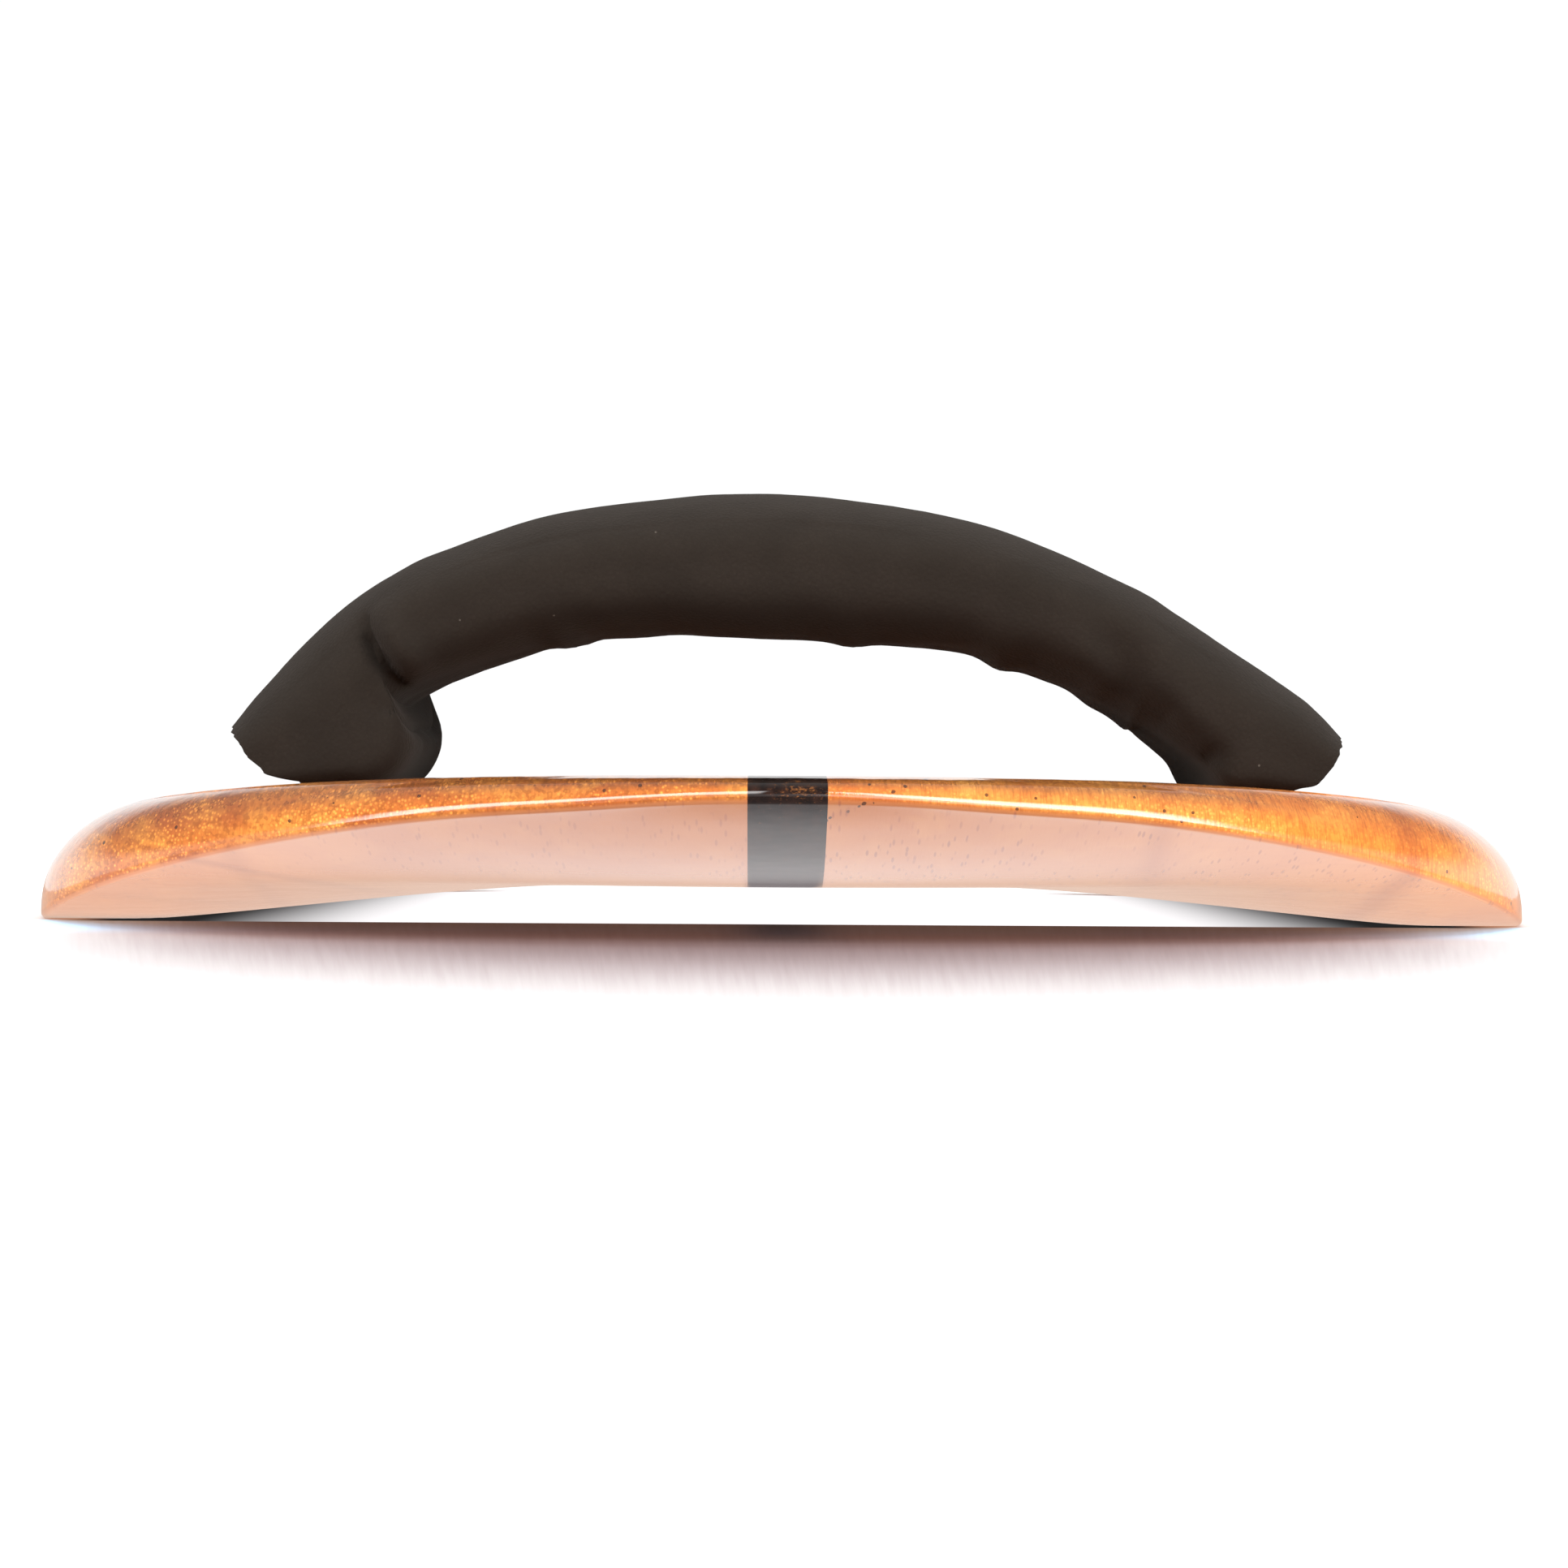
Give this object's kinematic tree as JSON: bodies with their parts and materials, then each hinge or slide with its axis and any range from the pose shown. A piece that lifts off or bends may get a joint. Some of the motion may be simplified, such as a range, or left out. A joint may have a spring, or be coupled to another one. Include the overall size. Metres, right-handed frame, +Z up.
{
  "type": "bodysurfing handplane",
  "caption": "Small wooden planing board with a padded neoprene hand strap across its deck, worn on the hand for bodysurfing.",
  "frame": {"origin": "on the plane that the board rests on, under the middle of the board's length and width", "axes": "+X to the right-hand rail, +Y aft to the tail (the nose points along -Y), +Z up through the hand strap"},
  "size_m": [0.201, 0.3, 0.0606],
  "materials": {
    "mahogany": "clear gloss varnish",
    "dark_hardwood": "clear gloss varnish",
    "neoprene": "matte nylon-faced neoprene",
    "foam": "closed-cell foam",
    "stainless_steel": "brushed",
    "brass": "machined"
  },
  "bodies": {
    "root": {"left_panel": "mahogany", "right_panel": "mahogany", "centre_stringer": "dark_hardwood", "strap_sleeve": "neoprene", "strap_padding": "foam", "left_clamp_bar": "stainless_steel", "right_clamp_bar": "stainless_steel", "left_front_insert": "brass", "left_rear_insert": "brass", "right_front_insert": "brass", "right_rear_insert": "brass", "left_front_washer": "stainless_steel", "left_rear_washer": "stainless_steel", "right_front_washer": "stainless_steel", "right_rear_washer": "stainless_steel", "left_front_screw": "stainless_steel", "left_rear_screw": "stainless_steel", "right_front_screw": "stainless_steel", "right_rear_screw": "stainless_steel"}
  },
  "joints": []
}
